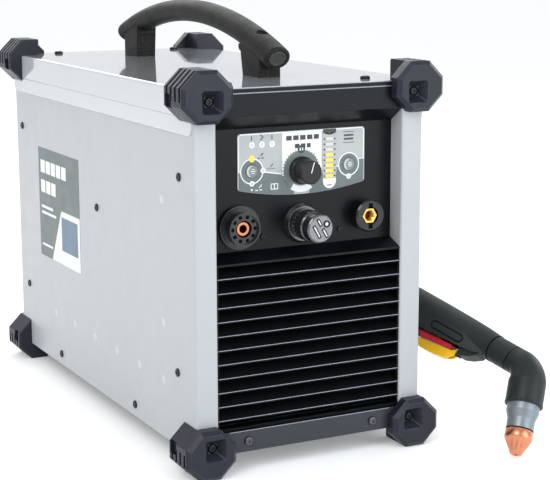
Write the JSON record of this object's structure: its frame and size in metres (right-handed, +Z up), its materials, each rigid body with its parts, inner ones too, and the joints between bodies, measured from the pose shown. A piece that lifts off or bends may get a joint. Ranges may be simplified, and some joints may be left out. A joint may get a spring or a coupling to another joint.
{
  "type": "plasma cutter unit",
  "caption": "Portable inverter plasma cutter: sheet metal case with corner bumpers and carry handle, front control panel, sockets, rear fan, and a hand torch in a side cradle.",
  "frame": {"origin": "on the floor under the middle of the case", "axes": "-Y out of the front control panel, +Y towards the rear fan, +Z up, +X towards the side that carries the torch"},
  "size_m": [0.3752, 0.6404, 0.4461],
  "materials": {
    "panel_grey_paint": "smooth light grey powder coat",
    "cover_white_paint": "glossy white powder coat",
    "black_paint": "satin black powder coat",
    "fascia_plastic": "satin black moulding",
    "bumper_plastic": "satin dark grey moulding",
    "handle_plastic": "speckled textured dark grey",
    "screw_steel": "zinc plated",
    "overlay_film": "light grey printed film",
    "led_lens": "amber lens",
    "knob_plastic": "soft black",
    "button_plastic": "light grey",
    "shaft_steel": "turned steel",
    "board": "green laminate",
    "component_plastic": "moulded black",
    "contact_brass": "machined brass",
    "socket_plastic": "gloss black",
    "regulator_alloy": "die cast",
    "transformer_core": "varnished laminations",
    "torch_plastic": "satin charcoal",
    "cup_steel": "turned steel",
    "nozzle_copper": "turned copper",
    "trigger_red": "red",
    "lever_yellow": "yellow"
  },
  "bodies": {
    "case": {"chassis_base": "black_paint", "left_side_panel": "panel_grey_paint", "right_side_panel": "panel_grey_paint", "top_cover": "cover_white_paint", "front_fascia": "fascia_plastic", "front_grille": "fascia_plastic", "rear_panel": "black_paint", "fan_guard": "black_paint", "bumper_front_top_left": "bumper_plastic", "bumper_front_top_right": "bumper_plastic", "bumper_front_bottom_left": "bumper_plastic", "bumper_front_bottom_right": "bumper_plastic", "bumper_rear_top_left": "bumper_plastic", "bumper_rear_top_right": "bumper_plastic", "bumper_rear_bottom_left": "bumper_plastic", "bumper_rear_bottom_right": "bumper_plastic", "handle_grip": "handle_plastic", "handle_foot_front": "handle_plastic", "handle_foot_rear": "handle_plastic", "side_panel_screws": "screw_steel", "cover_screws": "screw_steel", "bumper_screws": "screw_steel", "rail_screws": "screw_steel", "fascia_screws": "screw_steel", "handle_screws": "screw_steel", "control_overlay": "overlay_film", "status_leds": "led_lens", "pressure_leds": "led_lens", "potentiometer_body": "component_plastic", "control_board": "board", "torch_socket_shell": "fascia_plastic", "torch_socket_contacts": "contact_brass", "regulator_collar": "fascia_plastic", "regulator_body": "regulator_alloy", "earth_socket_shell": "socket_plastic", "earth_socket_insert": "contact_brass", "heatsink": "regulator_alloy", "main_transformer": "transformer_core", "power_board": "board", "solenoid_valve": "component_plastic", "fan_frame": "component_plastic", "mains_switch_body": "component_plastic", "mains_cable_gland": "component_plastic", "air_inlet_fitting": "contact_brass", "torch_cradle": "handle_plastic"},
    "current_dial": {"current_knob": "knob_plastic", "potentiometer_shaft": "shaft_steel"},
    "mode_button": {"mode_button": "button_plastic"},
    "air_button": {"air_button": "button_plastic"},
    "regulator_stem": {"regulator_stem": "shaft_steel"},
    "regulator_cap": {"regulator_knob": "knob_plastic"},
    "fan": {"fan_rotor": "component_plastic"},
    "mains_switch": {"mains_switch_knob": "knob_plastic"},
    "torch": {"torch_handle_left": "torch_plastic", "torch_handle_right": "torch_plastic", "torch_head": "torch_plastic", "torch_shield_cup": "cup_steel", "torch_nozzle": "nozzle_copper"},
    "torch_trigger": {"torch_trigger": "trigger_red"},
    "torch_lever": {"torch_safety_lever": "lever_yellow"}
  },
  "joints": [
    {"name": "current_knob_turn", "type": "hinge", "parent": "case", "child": "current_dial", "pos_m": [-0.001, -0.2525, 0.29], "axis": [0, -1, 0], "range_deg": [-133, 167]},
    {"name": "mode_button_press", "type": "slide", "parent": "case", "child": "mode_button", "axis": [0, 1, 0], "range_m": [0, 0.001], "stiffness_N_per_m": 400, "springref_m": -0.001},
    {"name": "air_button_press", "type": "slide", "parent": "case", "child": "air_button", "axis": [0, 1, 0], "range_m": [0, 0.001], "stiffness_N_per_m": 400, "springref_m": -0.001},
    {"name": "regulator_pull", "type": "slide", "parent": "case", "child": "regulator_stem", "axis": [0, -1, 0], "range_m": [0, 0.0035]},
    {"name": "regulator_turn", "type": "hinge", "parent": "regulator_stem", "child": "regulator_cap", "pos_m": [-0.0017, -0.27, 0.2382], "axis": [0, -1, 0], "continuous": true},
    {"name": "fan_spin", "type": "hinge", "parent": "case", "child": "fan", "pos_m": [0, 0.248, 0.15], "axis": [0, 1, 0], "continuous": true},
    {"name": "mains_switch_turn", "type": "hinge", "parent": "case", "child": "mains_switch", "pos_m": [-0.066, 0.265, 0.29], "axis": [0, 1, 0], "range_deg": [0, 90]},
    {"name": "torch_lift", "type": "slide", "parent": "case", "child": "torch", "axis": [0, 0, 1], "range_m": [0, 0.12]},
    {"name": "torch_trigger_squeeze", "type": "hinge", "parent": "torch", "child": "torch_trigger", "pos_m": [0.18051, -0.20474, 0.10192], "axis": [-0.7614, -0.3496, 0.546], "range_deg": [0, 4.5], "stiffness_Nm_per_rad": 0.6, "springref_deg": -4.58},
    {"name": "torch_safety_flip", "type": "hinge", "parent": "torch", "child": "torch_lever", "pos_m": [0.18394, -0.24266, 0.08242], "axis": [-0.7614, -0.3496, 0.546], "range_deg": [0, 30], "stiffness_Nm_per_rad": 0.03, "springref_deg": -17.19}
  ]
}
